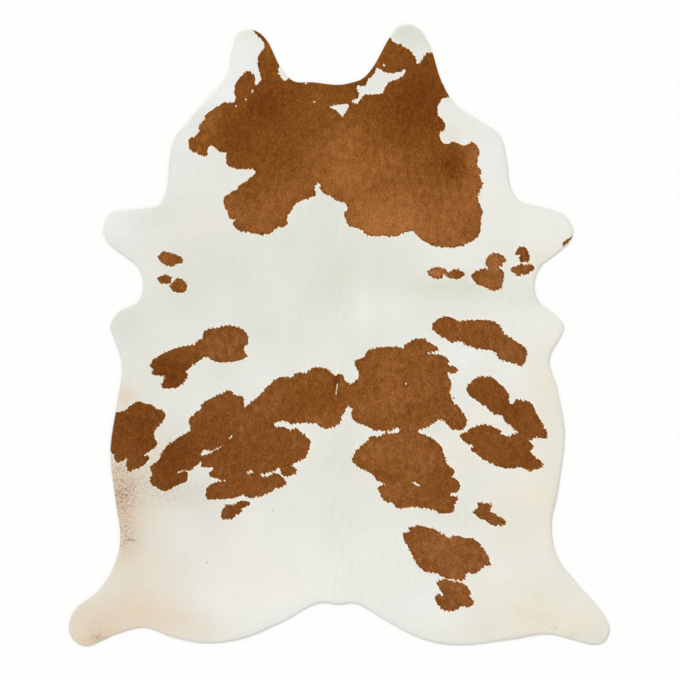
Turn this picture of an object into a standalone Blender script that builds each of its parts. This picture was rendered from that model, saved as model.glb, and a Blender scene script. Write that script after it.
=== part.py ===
"""A cowhide rug: one whole tanned hide, hair side up, lying flat.

X runs across the hide, +Y runs from the tail to the head, and +Z comes up out of the hair.
The origin is on the underside, in the middle of the hide's length and width. Sizes are in metres.
"""

from typing import NamedTuple

import bmesh
import bpy
import numpy as np

# Driving dimensions
HIDE_LENGTH = 2.290    # from the ear tips to the ends of the hind legs
HIDE_WIDTH = 1.992     # across the ends of the hind legs
LEATHER = 0.002        # the tanned skin
COAT = 0.003           # the short hair lying down on it
EDGE_ROLL = 0.002      # radius of the hair's roll over the cut edge
EDGE_ROLL_STEPS = 2    # facets in that roll
EDGE_STEP = 0.020      # spacing of the points along the cut edge
SPAN_STEPS = 40        # points worked out on each span of the edge's curve, before they are spaced

# The finish: a cream white coat, dull and without metal
HIDE_COLOUR = (0.76, 0.74, 0.69, 1.0)
HIDE_ROUGHNESS = 0.75
HIDE_METALLIC = 0.0
SHARP_ANGLE = 40.0     # degrees; the edge of the underside stays crisp, the roll is smooth


class Station(NamedTuple):
    """A place on the cut edge, on both sides: how far out from the spine, and how far up to the head."""

    name: str
    left_out: float
    left_up: float
    right_out: float
    right_up: float


# From the crown of the head down to the tail. A hide is cut freehand, so its two sides differ.
STATIONS = (
    Station("crown", 0.100, 0.932, 0.045, 0.930),
    Station("crown corner", 0.165, 0.935, 0.085, 0.944),
    Station("ear foot, front", 0.212, 0.983, 0.123, 0.985),
    Station("ear front", 0.263, 1.083, 0.184, 1.093),
    Station("ear tip, front", 0.297, 1.116, 0.214, 1.131),
    Station("ear tip", 0.335, 1.126, 0.255, 1.144),
    Station("ear tip, back", 0.377, 1.105, 0.301, 1.122),
    Station("ear back", 0.394, 1.050, 0.340, 1.055),
    Station("ear foot, back", 0.414, 0.958, 0.378, 0.936),
    Station("cheek", 0.461, 0.898, 0.432, 0.848),
    Station("jaw", 0.543, 0.803, 0.510, 0.795),
    Station("neck corner", 0.607, 0.725, 0.592, 0.735),
    Station("neck", 0.625, 0.640, 0.618, 0.645),
    Station("shoulder", 0.636, 0.535, 0.633, 0.540),
    Station("shoulder bend", 0.665, 0.480, 0.668, 0.494),
    Station("fore leg front", 0.750, 0.464, 0.760, 0.470),
    Station("fore leg corner", 0.836, 0.452, 0.834, 0.440),
    Station("fore leg end", 0.869, 0.390, 0.863, 0.382),
    Station("fore leg back corner", 0.853, 0.342, 0.849, 0.342),
    Station("fore leg back", 0.800, 0.297, 0.792, 0.292),
    Station("armpit front", 0.742, 0.250, 0.743, 0.253),
    Station("armpit", 0.721, 0.185, 0.720, 0.195),
    Station("armpit back", 0.738, 0.125, 0.735, 0.125),
    Station("elbow front", 0.812, 0.085, 0.795, 0.079),
    Station("elbow", 0.843, 0.033, 0.830, 0.030),
    Station("elbow back", 0.829, -0.014, 0.814, -0.010),
    Station("waist", 0.800, -0.110, 0.775, -0.090),
    Station("belly front", 0.814, -0.230, 0.802, -0.190),
    Station("belly", 0.842, -0.430, 0.831, -0.360),
    Station("flank", 0.823, -0.610, 0.808, -0.560),
    Station("stifle", 0.806, -0.750, 0.782, -0.700),
    Station("thigh", 0.827, -0.845, 0.806, -0.820),
    Station("hind leg front", 0.887, -0.940, 0.879, -0.914),
    Station("hind leg corner", 0.972, -1.008, 0.980, -1.034),
    Station("hind leg end", 0.996, -1.078, 0.997, -1.085),
    Station("hind leg back corner", 0.976, -1.125, 0.982, -1.125),
    Station("hind leg back", 0.930, -1.145, 0.945, -1.140),
    Station("hock back", 0.820, -1.101, 0.850, -1.118),
    Station("hock", 0.718, -1.076, 0.765, -1.099),
    Station("rump corner", 0.620, -1.110, 0.640, -1.118),
    Station("rump", 0.490, -1.134, 0.450, -1.141),
    Station("rump inner", 0.345, -1.112, 0.310, -1.120),
    Station("rump slope", 0.210, -1.056, 0.180, -1.056),
    Station("tail root", 0.070, -0.984, 0.055, -0.985),
)
CROWN_MIDDLE = (0.000, 0.922)
TAIL_NOTCH = (0.000, -0.991)


def edge_stations():
    """The stations as one ring of places: down the left side, across the tail and up the right side."""
    left = [(-station.left_out, station.left_up) for station in STATIONS]
    right = [(station.right_out, station.right_up) for station in reversed(STATIONS)]
    return np.array([CROWN_MIDDLE, *left, TAIL_NOTCH, *right])


def edge_curve():
    """A smooth closed curve through the stations.

    Each span is a cubic that leaves a station and arrives at the next one along a slope. A station's
    slope is the mean of the spans on its two sides, with each span timed by the square root of its
    length, so that a short span beside a long one doesn't loop.
    """
    start = edge_stations()
    end, before = np.roll(start, -1, axis=0), np.roll(start, 1, axis=0)
    time = np.sqrt(np.linalg.norm(end - start, axis=1))[:, None]
    time_before = np.roll(time, 1, axis=0)
    slope = (
        (start - before) / time_before
        - (end - before) / (time_before + time)
        + (end - start) / time
    )
    leave, arrive = slope * time, np.roll(slope, -1, axis=0) * time

    t = np.linspace(0.0, 1.0, SPAN_STEPS, endpoint=False)[:, None]
    spans = (
        (2 * t**3 - 3 * t**2 + 1) * start[:, None]
        + (t**3 - 2 * t**2 + t) * leave[:, None]
        + (3 * t**2 - 2 * t**3) * end[:, None]
        + (t**3 - t**2) * arrive[:, None]
    )
    return spans.reshape(-1, 2)


def cut_edge():
    """The cut edge as a ring of places EDGE_STEP apart, centred, at the hide's real length and width."""
    curve = edge_curve()
    curve = np.vstack([curve, curve[:1]])
    run = np.concatenate([[0.0], np.cumsum(np.linalg.norm(np.diff(curve, axis=0), axis=1))])
    stops = np.linspace(0.0, run[-1], round(run[-1] / EDGE_STEP), endpoint=False)
    edge = np.column_stack([np.interp(stops, run, curve[:, axis]) for axis in (0, 1)])
    low, high = edge.min(axis=0), edge.max(axis=0)
    return (edge - (low + high) / 2) * np.array([HIDE_WIDTH, HIDE_LENGTH]) / (high - low)


def inward(edge):
    """The direction across the hide's edge, into the hide, at each place of the ring."""
    along = np.roll(edge, -1, axis=0) - np.roll(edge, 1, axis=0)
    along /= np.linalg.norm(along, axis=1)[:, None]
    return np.column_stack([-along[:, 1], along[:, 0]])


def hide_material():
    """The coat's own finish."""
    material = bpy.data.materials.new("hide")
    material.use_nodes = True
    shader = material.node_tree.nodes["Principled BSDF"]
    shader.inputs["Base Color"].default_value = HIDE_COLOUR
    shader.inputs["Roughness"].default_value = HIDE_ROUGHNESS
    shader.inputs["Metallic"].default_value = HIDE_METALLIC
    return material


def make_hide():
    """The hide as one flat solid: rings of the cut edge, from the underside up its side and over its
    roll, a quarter circle, joined by faces, with a flat underside and a flat top."""
    edge, into = cut_edge(), inward(cut_edge())
    shoulder = LEATHER + COAT - EDGE_ROLL
    levels = [(0.0, 0.0)]
    for angle in np.linspace(0.0, np.pi / 2, EDGE_ROLL_STEPS + 1):
        levels.append((EDGE_ROLL * (1.0 - np.cos(angle)), shoulder + EDGE_ROLL * np.sin(angle)))

    shape = bmesh.new()
    rings = []
    for inset, height in levels:
        rings.append([shape.verts.new((x, y, height)) for x, y in edge + inset * into])
    for lower, upper in zip(rings, rings[1:]):
        for i in range(len(edge)):
            shape.faces.new((lower[i - 1], lower[i], upper[i], upper[i - 1]))
    shape.faces.new(reversed(rings[0]))
    shape.faces.new(rings[-1])
    bmesh.ops.triangulate(shape, faces=shape.faces)

    mesh = bpy.data.meshes.new("hide")
    shape.to_mesh(mesh)
    shape.free()
    mesh.shade_smooth()
    mesh.set_sharp_from_angle(angle=np.radians(SHARP_ANGLE))
    mesh.materials.append(hide_material())
    bpy.context.scene.collection.objects.link(bpy.data.objects.new("hide", mesh))


for old in list(bpy.data.objects):
    bpy.data.objects.remove(old, do_unlink=True)
make_hide()
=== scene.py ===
"""The looks of a whole cowhide rug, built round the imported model.

The rug is one tanned hide lying hair side up: a sheet of leather, suede underneath, with a short coat of
white hair that carries brown patches. Three layers make it, from the floor up:

* the leather, a closed sheet cut round the hide's edge;
* the undercoat, the dense short hair that hides the leather and curls over its edge;
* the locks, hundreds of thousands of small pointed tufts that lie on the undercoat, brown or white
  by the place where they grow.

X runs across the hide, +Y runs to the head and +Z comes up out of the hair. Sizes are in metres where a
name doesn't say otherwise; the markings are charted in centimetres from the middle of the hide.
"""

import logging
from collections.abc import Iterable
from dataclasses import dataclass, field
from enum import Enum

import bmesh
import bpy
import numpy as np
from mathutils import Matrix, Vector
from mathutils.geometry import delaunay_2d_cdt


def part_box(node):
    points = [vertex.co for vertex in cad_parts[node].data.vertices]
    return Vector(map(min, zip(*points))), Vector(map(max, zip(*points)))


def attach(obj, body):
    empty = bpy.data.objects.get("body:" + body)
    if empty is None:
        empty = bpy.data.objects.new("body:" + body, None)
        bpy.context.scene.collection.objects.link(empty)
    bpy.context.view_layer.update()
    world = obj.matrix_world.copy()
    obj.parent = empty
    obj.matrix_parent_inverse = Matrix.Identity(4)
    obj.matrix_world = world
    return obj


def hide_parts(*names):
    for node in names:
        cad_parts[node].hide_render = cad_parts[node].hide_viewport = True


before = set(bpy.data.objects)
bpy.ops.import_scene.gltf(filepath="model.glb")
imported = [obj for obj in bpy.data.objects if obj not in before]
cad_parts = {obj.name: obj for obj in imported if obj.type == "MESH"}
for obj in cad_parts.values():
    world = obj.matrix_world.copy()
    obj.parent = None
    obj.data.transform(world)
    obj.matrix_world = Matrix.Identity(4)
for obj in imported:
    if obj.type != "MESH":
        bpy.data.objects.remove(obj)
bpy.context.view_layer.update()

Range = tuple[float, float]

MM = 0.001
CM = 0.01
NODE = "hide"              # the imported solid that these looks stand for
BODY = "root"              # the body that everything rides on
BAKE_UV = "OFBake"         # a flat map of the hide, seen from above
WHOLE = (0.0, 1.0)         # from none to all
NOISE = (0.3, 0.7)         # where most of a noise's values lie
NO_TINT = "#FFFFFF"
TRIANGLE = np.sqrt(0.75)   # the height of an even triangle over its side
SHORTEST_SQUARE = 1e-12    # keeps the division by a side without length safe
LAST_CELL = 1.001          # a place stays this many cells short of a grid's size, so in its last cell

log = logging.getLogger("cowhide")


class Slot(Enum):
    """The names of the material slots."""

    WHITE_HAIR = "white_hair"
    BROWN_HAIR = "brown_hair"
    SUEDE = "suede"


class Hair(Enum):
    """The two colours of hair in the coat."""

    WHITE = "white"
    BROWN = "brown"


# ---------------------------------------------------------------- the markings' chart


@dataclass(frozen=True)
class Patch:
    """A marking with a border: its name, its hair, and the turns of its outline in centimetres.

    Where a patch runs off the hide, its outline runs on outside the cut edge.
    """

    name: str
    hair: Hair
    outline: tuple[tuple[float, float], ...]


@dataclass(frozen=True)
class Fleck:
    """A small round marking, in centimetres."""

    x: float
    y: float
    radius: float
    hair: Hair


@dataclass(frozen=True)
class Wash:
    """A broad soft area of another tone: its middle and half widths in centimetres, and its strength."""

    x: float
    y: float
    wide: float
    tall: float
    strength: float


PATCHES = (
    Patch("head", Hair.BROWN, (
        (-31.5, 113), (-30.5, 111), (-28, 108.5), (-27.5, 105.5), (-29.5, 103), (-29.5, 98.5),
        (-28.5, 94.5), (-29.5, 92.5), (-31, 92), (-31, 95), (-32.5, 96.5), (-34, 97), (-37, 94),
        (-38.5, 90.5), (-38, 85.5), (-40, 85.5), (-43, 85), (-49, 81), (-49, 79.5),
        (-51.5, 77), (-51.2, 74.5), (-52.5, 73.5), (-55, 72), (-55, 69), (-52.5, 67), (-49, 66),
        (-48.5, 68.5), (-47, 70), (-45, 68.7), (-43.5, 67.3), (-41.5, 67.3), (-41.5, 63.3),
        (-39, 61.7), (-36, 61.2), (-32, 61.2), (-30.5, 60), (-33, 57.5), (-36.5, 55), (-38, 53.2),
        (-40.5, 52), (-42, 50.7), (-42.2, 48), (-41, 45.5), (-40.2, 43), (-38, 42.5), (-39, 41),
        (-36.5, 38.5), (-33, 38), (-29, 37), (-25.5, 37.5), (-23, 39.5), (-20, 40), (-19, 41.5),
        (-19, 43.5), (-17.3, 46.7), (-15, 49.2), (-12, 50.2), (-9, 51.3), (-9, 54.5), (-8, 56),
        (-7, 55.5), (-6.5, 53), (-3.5, 51.5), (-1.5, 50), (2.5, 48.5), (3, 46.5), (2, 44.5),
        (3.5, 40.5), (7, 39.5), (9.5, 37.7), (12, 36.4), (16, 36.6), (21, 36.5), (26.5, 38.5),
        (30, 35.6), (34, 33.3), (40, 32.3), (44, 32.7), (47, 33.7), (50.8, 36.2), (52, 39.5), (52, 43.5),
        (53, 45.5), (51, 50), (52, 54), (53, 56), (52, 57), (52, 60.5), (50.5, 63), (51.5, 67.5),
        (49.5, 70.8), (45.5, 69.8), (42, 71.2), (40, 70.2), (37.5, 71.5), (37, 74.5), (38.5, 75.5),
        (39, 78), (36.5, 81), (36.5, 85), (38, 87), (40.5, 88), (46, 92), (38, 106), (34, 103.5),
        (32.5, 104), (30.5, 101), (28.5, 99.5), (28, 102.5), (25.5, 105), (22.5, 107), (20, 107.5),
        (18.5, 109.5), (14, 111), (7, 101), (-4, 99), (-15, 99), (-18.5, 94.5), (-20, 93.5),
        (-22, 95.5), (-22.5, 97), (-22, 106), (-27, 114),
    )),
    Patch("crown streak", Hair.WHITE, (
        (6.5, 91), (7, 92), (9.5, 92), (10.5, 94), (12.5, 96), (13.5, 98), (15, 98), (18, 96.5),
        (22, 97), (25, 98), (24, 96), (22, 94.5), (18.5, 93), (17.5, 92), (16.5, 89.8),
        (14.5, 88.6), (10, 88.5), (8.2, 87), (7.5, 86), (6.5, 85), (4.5, 86), (7, 87.5), (7, 89),
    )),
    Patch("brow streak", Hair.WHITE, (
        (-3.5, 84), (0, 85), (3.5, 85), (3.5, 83.5), (2, 81.5), (1, 80), (0, 81.5), (-2, 83),
    )),
    Patch("left shoulder spot, upper", Hair.BROWN, (
        (-66.6, 29.2), (-64, 30.7), (-61.5, 30), (-58, 28.5), (-58, 26.5), (-60, 26.3), (-61, 25.3),
        (-63, 25.5), (-65.5, 27),
    )),
    Patch("left shoulder spot, middle", Hair.BROWN, (
        (-66.5, 21), (-64, 22), (-61.5, 21), (-62.5, 19.5), (-64, 19), (-66, 19.5),
    )),
    Patch("left shoulder spot, lower", Hair.BROWN, (
        (-62.3, 17.5), (-61.7, 18.8), (-59.5, 20.7), (-57.5, 20.3), (-55.8, 18), (-57.3, 15.8),
        (-60, 15.8),
    )),
    Patch("right shoulder spot, inner", Hair.BROWN, (
        (32.5, 23), (34.5, 24.5), (37, 25), (39, 24), (40.5, 23), (42, 24), (44, 24), (46, 22.5),
        (44.5, 21), (41, 21), (38.5, 22.5), (37.5, 21), (35, 21),
    )),
    Patch("right shoulder spot, top", Hair.BROWN, (
        (54.5, 25), (54, 27), (55.5, 29.5), (58, 30), (60.5, 29), (61.5, 27.5), (60, 26.5),
        (60, 25.5), (58.5, 25), (58, 23), (56, 23),
    )),
    Patch("right shoulder spot, middle", Hair.BROWN, (
        (48.5, 22), (52, 24), (55, 24.5), (58, 24.5), (60.5, 23), (60, 20), (59.5, 17.5),
        (57, 16.5), (55, 17), (53, 18), (50.5, 19),
    )),
    Patch("right shoulder spot, hook", Hair.BROWN, (
        (65, 30), (65.5, 31.5), (67.5, 32.5), (69.5, 31), (69.5, 30), (70, 28.5), (69, 27),
        (67, 27), (66.5, 28.5), (67, 29.5),
    )),
    Patch("right shoulder spot, outer", Hair.BROWN, (
        (63.5, 24), (65, 25.5), (69.5, 26), (72, 25), (71, 24), (69.5, 22.5), (67, 22.5),
        (66, 21.5), (64.5, 23),
    )),
    Patch("fore leg sliver", Hair.BROWN, (
        (82, 33.5), (82.5, 34), (84, 35), (85.5, 36), (84.5, 34.5), (83.5, 33.5), (82.5, 33),
    )),
    Patch("left rib patch", Hair.BROWN, (
        (-69.5, -11), (-68, -9), (-65, -7), (-60.5, -5), (-56, -4), (-53, -3.5), (-52, -2),
        (-50, -1), (-49.5, 1.5), (-46, 2.5), (-41.5, 3.5), (-37.5, 3), (-34, 0.5), (-33.5, -2.5),
        (-35, -4.5), (-34.5, -6.5), (-34, -8), (-38, -9.5), (-43, -10), (-46, -9.5), (-48.5, -8),
        (-50.5, -8.5), (-56, -13), (-55.5, -14.5), (-57, -17), (-59, -19), (-61, -19.5),
        (-64.5, -19.5), (-65.5, -18.5), (-64.5, -17), (-64.5, -15), (-68.5, -14.5), (-68.5, -12.5),
    )),
    Patch("right rib patch", Hair.BROWN, (
        (34.4, 2), (34.8, 4.4), (37, 6.2), (40.5, 6.7), (42, 6), (44, 5), (47, 5.5), (52, 5.5),
        (56.5, 5), (59.5, 3), (61.5, 0), (67.5, -4), (69, -6.5), (68.5, -9.5), (66.5, -11.5),
        (65, -10.5), (61, -9.5), (58.5, -8), (57, -5.8), (50.5, -4.8), (46.5, -3.3), (45, -2.3),
        (43, -2.3), (41, -2.5), (38, -0.5),
    )),
    Patch("left saddle patch", Hair.BROWN, (
        (-40, -20.5), (-38.5, -22), (-35.5, -23), (-35, -26.5), (-32, -24.5), (-29.5, -22.5),
        (-27, -19.5), (-25, -18), (-23, -16), (-20, -15.5), (-17, -15.5), (-15.5, -14), (-12, -14),
        (-10.5, -12.5), (-8, -12), (-4.5, -12.5), (-3, -14), (-1.5, -14.8), (0, -14.3), (1.3, -15),
        (2.3, -17), (3.5, -18), (5.5, -17.7), (10, -18), (10, -25), (3.5, -26), (1, -30),
        (-0.5, -33), (-5, -34.3), (-9, -32.4), (-15.5, -32.4), (-17, -32.8), (-19, -31.9),
        (-21.5, -31.4), (-24, -32.6), (-24.5, -33.5), (-20, -34),
        (-18, -35), (-15.5, -34.5), (-13, -36.5), (-10.8, -39.5), (-12.2, -44.5), (-14, -46),
        (-18, -48), (-16, -49), (-16, -50.5), (-18.5, -52), (-21, -51.2), (-22, -48.8), (-24, -50),
        (-29.2, -51.1), (-27, -52.3), (-24.5, -51.1), (-22, -51.3), (-19.8, -54), (-20.3, -55.7),
        (-23.3, -56.2), (-25, -57.7), (-29, -59.2), (-33, -59.8), (-35, -58.8), (-37, -59.3),
        (-41, -60.3), (-48, -60.3), (-49, -59), (-48, -55.5), (-44, -54), (-42, -53.5), (-47, -52.2),
        (-47.7, -51), (-46, -48.6), (-50, -48.6), (-51, -46.7), (-53.5, -48.8), (-55, -49.8),
        (-57, -49.8), (-59.3, -50.1), (-59.3, -50.9), (-57.5, -50.5), (-55.8, -50.5), (-56.2, -53.5),
        (-60, -55.3), (-63, -57), (-65.5, -57), (-69.5, -54), (-68.7, -51), (-69.7, -49),
        (-66, -45.5), (-64, -41.5), (-58.5, -37.5), (-55, -35), (-55, -31), (-52.5, -28.5),
        (-50.5, -26.5), (-50, -25), (-44.5, -22),
    )),
    Patch("left saddle slit", Hair.WHITE, (
        (-51.5, -44.7), (-50.5, -43), (-49.5, -42), (-46.5, -42.4), (-43.4, -40.4), (-42.9, -40.6),
        (-44.5, -41.9), (-47, -43.3), (-50, -44.3),
    )),
    Patch("left saddle arch", Hair.WHITE, (
        (-34.3, -51.5), (-33.6, -50.2), (-32.4, -49.7), (-31, -50.6), (-32.5, -50.9),
    )),
    Patch("spine streak", Hair.WHITE, ((-0.5, -17.5), (-0.4, -19.3), (-0.9, -22.5), (-1.1, -20))),
    Patch("right saddle patch", Hair.BROWN, (
        (6.2, -17), (7.2, -14), (5.8, -10.5), (6.3, -9.3), (9, -8.3), (10.5, -6), (15, -4.5),
        (22, -4.5), (24, -5.2), (24.5, -3.5), (29.5, -1.2), (34, -3.2), (36.4, -5.4), (32.2, -6.8),
        (37.7, -7.4), (40.5, -9.6), (40, -10.5), (43.5, -12.5), (42.5, -14), (39.8, -14), (41.2, -18),
        (40.7, -21.5), (42, -24.5), (46.6, -30), (46.6, -33.3), (45, -34.8), (41, -34.3), (39, -32),
        (37, -31), (33, -33.5), (29, -35), (25, -38), (23, -34.7), (21.5, -34), (18.5, -35.2),
        (13, -34.9), (10, -33.2), (6.5, -32), (4.5, -29.5), (5, -27), (3.5, -26), (1, -22),
    )),
    Patch("right flank patch", Hair.BROWN, (
        (24.5, -34), (22.5, -35.4), (20.5, -36.1), (17, -36.2), (15, -37.5), (12, -37.3), (10, -39.3),
        (7.5, -41.4), (6, -43), (5, -46.5), (8.4, -49.1), (12.4, -51.1), (14.2, -53.4), (17, -55),
        (14.3, -56), (15.3, -59), (17, -61), (20, -62), (22, -63.7), (26.5, -63.3), (33, -63.8),
        (38, -65.5), (42, -65), (42.5, -62), (43.5, -60), (40.5, -58.5), (43.5, -57.5),
        (44.5, -54.5), (41.5, -52), (42.5, -50.5), (42, -49.5), (39.5, -47), (37.5, -41), (34, -38),
        (29, -35.5), (28, -33),
    )),
    Patch("right flank streak", Hair.WHITE, (
        (26.5, -54.3), (28, -53.9), (29.8, -54.9), (30.2, -56), (29, -55.6), (27.5, -54.9),
    )),
    Patch("left belly patch", Hair.BROWN, (
        (-92, -28), (-82, -28.5), (-79, -28), (-76, -25.5), (-74, -24.5), (-72, -25), (-68.5, -26),
        (-67.5, -27), (-65.5, -27.5), (-64, -29), (-64.5, -31), (-67.2, -34.3), (-67.8, -35.5),
        (-68.2, -37.5), (-66.8, -39.5), (-68.2, -41.5), (-71.5, -44), (-70, -45), (-71.5, -47.5),
        (-75.5, -49.5), (-77.5, -50.3), (-78.3, -48), (-77.7, -45), (-80, -46.5), (-82, -46.7),
        (-84, -43), (-92, -43),
    )),
    Patch("left flank spot", Hair.BROWN, (
        (-43.5, -66), (-42.5, -64), (-41.5, -62.5), (-38.5, -62.5), (-36.5, -61), (-33, -61.5),
        (-34, -63), (-36.5, -64), (-36, -65), (-40, -67.5), (-42.5, -67.5),
    )),
    Patch("right belly patch, upper", Hair.BROWN, (
        (47.3, -19), (48.8, -17.2), (50.5, -15.8), (55, -15.3), (58, -17), (62, -21), (62.5, -22.5),
        (62, -24), (63.5, -25.5), (65, -24), (67, -24), (70.5, -25), (73, -29.5), (75, -33),
        (76.5, -37), (75, -38), (72, -37.5), (71, -39), (69, -38), (66, -38), (65.5, -35.5),
        (61, -31.5), (60, -29.5), (57, -29), (53.5, -26), (48, -22),
    )),
    Patch("right belly patch, lower", Hair.BROWN, (
        (69, -36.5), (69, -38), (70.5, -39.5), (71.5, -41.5), (70, -43), (72.5, -45), (75, -48),
        (72, -49.5), (70, -50), (67, -48.5), (63, -49), (58, -48), (53, -45.5), (48.5, -42),
        (49.5, -41), (45, -38.5), (44.5, -37), (47, -35.5), (50.5, -33.5), (54, -33), (59, -35),
        (59.5, -36.5), (62.5, -37.5), (64, -36.5), (67, -36),
    )),
    Patch("right flank spot", Hair.BROWN, (
        (51, -61.5), (53, -62), (55, -62), (56, -63), (55.5, -64.5), (55, -65), (57.5, -66),
        (61, -68.5), (60.5, -70), (58, -70), (56.5, -70), (54.5, -68.5), (51.5, -67), (49.5, -65.5),
        (50, -64.5), (51.5, -63),
    )),
    Patch("haunch patch", Hair.BROWN, (
        (25.5, -71), (28, -70.5), (29, -69.8), (31, -70.7), (34, -71.2), (38, -73.2), (40.5, -74.7),
        (43, -73.8), (46, -74.7), (50, -75.3), (54, -80), (55.5, -84.5), (53.5, -84.7),
        (51.5, -86.7), (49.5, -87.7), (46.7, -87.6), (46, -89.9), (43, -89.9), (38, -89),
        (36, -87.5), (32, -87), (28.5, -84), (26, -79), (23.5, -73.5), (26.5, -72.5),
    )),
    Patch("haunch spot", Hair.BROWN, (
        (36.2, -90.6), (40, -90.2), (42, -91.1), (44, -90.8), (47, -92.5), (48.5, -95), (47.5, -96),
        (49.5, -98), (48, -100), (45, -99.7), (43, -101), (39, -101.3), (35.3, -97.5), (36.7, -95.5),
        (38.5, -96), (38, -94.5), (36.7, -93),
    )),
)

FLECKS = (
    Fleck(16.5, 99.3, 0.38, Hair.WHITE),
    Fleck(-9.2, 85.8, 0.30, Hair.WHITE),
    Fleck(-12.2, 92.7, 0.35, Hair.WHITE),
    Fleck(-31.8, 90.1, 0.25, Hair.WHITE),
    Fleck(-32.0, 89.5, 0.25, Hair.WHITE),
    Fleck(-34.4, 86.7, 0.30, Hair.WHITE),
    Fleck(-37.9, 84.3, 0.30, Hair.WHITE),
    Fleck(24.6, -17.8, 0.28, Hair.WHITE),
    Fleck(-39.7, -37.4, 0.35, Hair.WHITE),
    Fleck(-40.2, -38.0, 0.25, Hair.WHITE),
    Fleck(45.3, -28.5, 0.25, Hair.WHITE),
    Fleck(42.2, -23.2, 0.35, Hair.BROWN),
    Fleck(-24.3, -64.5, 0.25, Hair.BROWN),
    Fleck(-44.8, -79.0, 0.15, Hair.BROWN),
    Fleck(-48.5, -83.8, 0.15, Hair.BROWN),
    Fleck(21.3, -76.1, 0.20, Hair.BROWN),
)

# How much darker (below nought) or paler (above nought) the brown hair is
BROWN_WASHES = (
    Wash(-25, 84, 13, 10, -0.76),
    Wash(-28, 98, 6, 8, -0.12),
    Wash(-17, 80, 7, 7, 0.18),
    Wash(-38, 72, 7, 6, -0.66),
    Wash(-25, 65, 9, 7, -0.25),
    Wash(-47, 77, 8, 9, 0.36),
    Wash(29, 85, 13, 15, -0.80),
    Wash(33, 97, 5, 7, -0.18),
    Wash(15, 80, 8, 8, -0.16),
    Wash(6, 93, 8, 4, -0.50),
    Wash(42, 62, 5, 5, -0.95),
    Wash(34, 65, 5, 6, 0.12),
    Wash(50, 66, 4, 6, 0.62),
    Wash(24, 64, 10, 8, 0.24),
    Wash(10, 69, 7, 8, 0.22),
    Wash(2, 66, 13, 14, 0.36),
    Wash(4, 56, 9, 7, 0.40),
    Wash(-18, 55, 7, 6, 0.32),
    Wash(18, 43, 14, 8, 0.90),
    Wash(10, 39, 8, 4, 0.40),
    Wash(25, 52, 10, 6, 0.14),
    Wash(44, 44, 12, 12, 0.36),
    Wash(35, 36, 9, 4, 0.36),
    Wash(49, 55, 6, 8, 0.26),
    Wash(-30, 45, 12, 8, 0.22),
    Wash(-40, 46, 5, 5, 0.30),
    Wash(-28, 38, 8, 4, 0.34),
    Wash(-62, 28, 7, 5, 0.26),
    Wash(36, 23, 6, 4, 0.72),
    Wash(56, 20, 7, 6, 0.34),
    Wash(57, 27, 4, 3.5, 0.55),
    Wash(-61, -14, 9, 7, -0.78),
    Wash(-66, -9, 6, 4, -0.24),
    Wash(-42, -3, 9, 8, 0.22),
    Wash(40, 3, 6, 5, -0.06),
    Wash(58, -1, 7, 5, 0.16),
    Wash(-74, -34, 12, 14, -0.60),
    Wash(-60, -48, 11, 11, -0.62),
    Wash(-46, -35, 9, 8, -0.26),
    Wash(-44, -26, 8, 5, 0.20),
    Wash(-38, -64, 7, 4, -0.34),
    Wash(-30, -46, 24, 12, -0.08),
    Wash(-16, -20, 7, 6, 0.08),
    Wash(-7, -31, 9, 3, 0.24),
    Wash(-8, -23, 6, 5, -0.34),
    # painted shade: the dark line of the crease along the spine
    Wash(-0.9, -15.5, 0.8, 3, -2.50),
    Wash(9, -28, 5, 5, 0.20),
    Wash(22, -18, 14, 14, 0.26),
    Wash(20, -43, 12, 8, 0.30),
    Wash(37, -52, 6, 6, -0.12),
    Wash(34, -45, 6, 6, 0.14),
    Wash(21, -59, 8, 5, 0.30),
    Wash(55, -21, 6, 5, -0.14),
    Wash(64, -27, 13, 10, -0.32),
    Wash(61, -40, 20, 10, -0.18),
    Wash(73, -46, 6, 5, -0.24),
    Wash(28, -76, 5, 5, 0.16),
    Wash(43, -81, 12, 9, 0.32),
    Wash(42, -96, 8, 6, 0.10),
)

# How far the white hair is stained, from a pinkish cream to tan
STAIN_WASHES = (
    Wash(-83, -56, 13, 20, 0.50),
    Wash(-80, -74, 11, 16, 0.24),
    Wash(-79, -23, 5, 5, 0.32),
    Wash(-65, -43, 6, 8, 0.18),
    Wash(-58, -60, 12, 7, 0.12),
    Wash(-94, -106, 13, 10, 0.37),
    Wash(-84, -110, 8, 4, 0.16),
    Wash(-91, -114, 10, 4, 0.28),
    Wash(-74, -102, 14, 8, 0.34),
    Wash(-56, -107, 14, 6, 0.22),
    Wash(-70, -90, 18, 12, 0.16),
    Wash(-48, -80, 24, 18, 0.08),
    Wash(-24, -94, 26, 12, 0.06),
)

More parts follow.
